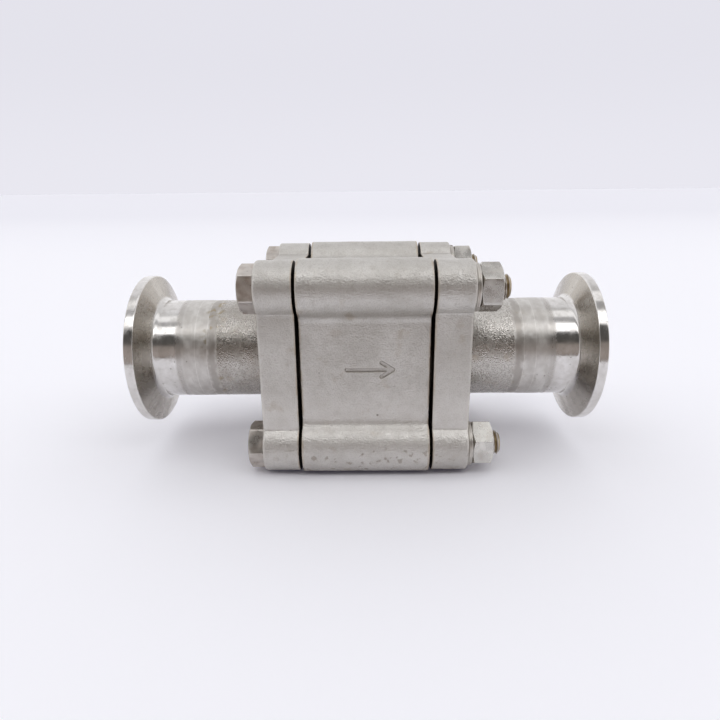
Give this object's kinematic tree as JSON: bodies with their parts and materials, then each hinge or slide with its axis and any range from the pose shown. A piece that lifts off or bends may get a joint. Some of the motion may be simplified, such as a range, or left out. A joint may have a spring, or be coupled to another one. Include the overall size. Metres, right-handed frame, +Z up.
{
  "type": "in-line spring check valve",
  "caption": "Three-piece, bolted, spring-loaded in-line check valve with a square lobed body and a hygienic clamp ferrule at each end.",
  "frame": {"origin": "middle of the centre body on the flow axis", "axes": "+X along the flow from inlet to outlet, +Z up with the valve lying on its two lower bolt lobes, -Y towards the face with the flow arrow"},
  "size_m": [0.1494, 0.068, 0.068],
  "materials": {
    "cast_steel": "bead-blasted cast stainless steel, matte, fine sandy grain",
    "polished_steel": "turned and polished stainless steel",
    "weld_metal": "ground weld with straw heat tint",
    "machined_steel": "fine turned stainless steel",
    "fastener_steel": "satin cold-headed stainless steel",
    "washer_steel": "satin spring steel, slightly browned",
    "spring_wire": "drawn bright wire",
    "ptfe": "waxy white PTFE",
    "bearing_plastic": "filled PTFE, tan",
    "black_rubber": "matte moulded rubber"
  },
  "bodies": {
    "valve_body": {"centre_body": "cast_steel", "inlet_cap": "cast_steel", "outlet_cap": "cast_steel", "inlet_ferrule": "polished_steel", "outlet_ferrule": "polished_steel", "inlet_weld_bead": "weld_metal", "outlet_weld_bead": "weld_metal", "inlet_body_seal": "ptfe", "outlet_body_seal": "ptfe", "seat_holder": "machined_steel", "seat_o_ring": "black_rubber", "closing_spring": "spring_wire", "guide_cage": "machined_steel", "guide_bush": "bearing_plastic", "snap_ring": "spring_wire", "body_bolts": "fastener_steel", "lock_washers": "washer_steel", "body_nuts": "fastener_steel"},
    "poppet": {"poppet_disc": "machined_steel", "disc_seal": "ptfe", "seal_clamp_washer": "machined_steel", "poppet_stem": "machined_steel", "poppet_nut": "fastener_steel"}
  },
  "joints": [
    {"name": "poppet_lift", "type": "slide", "parent": "valve_body", "child": "poppet", "axis": [1, 0, 0], "range_m": [0, 0.0065], "stiffness_N_per_m": 1100, "springref_m": -0.004, "deforming": ["closing_spring"]}
  ]
}
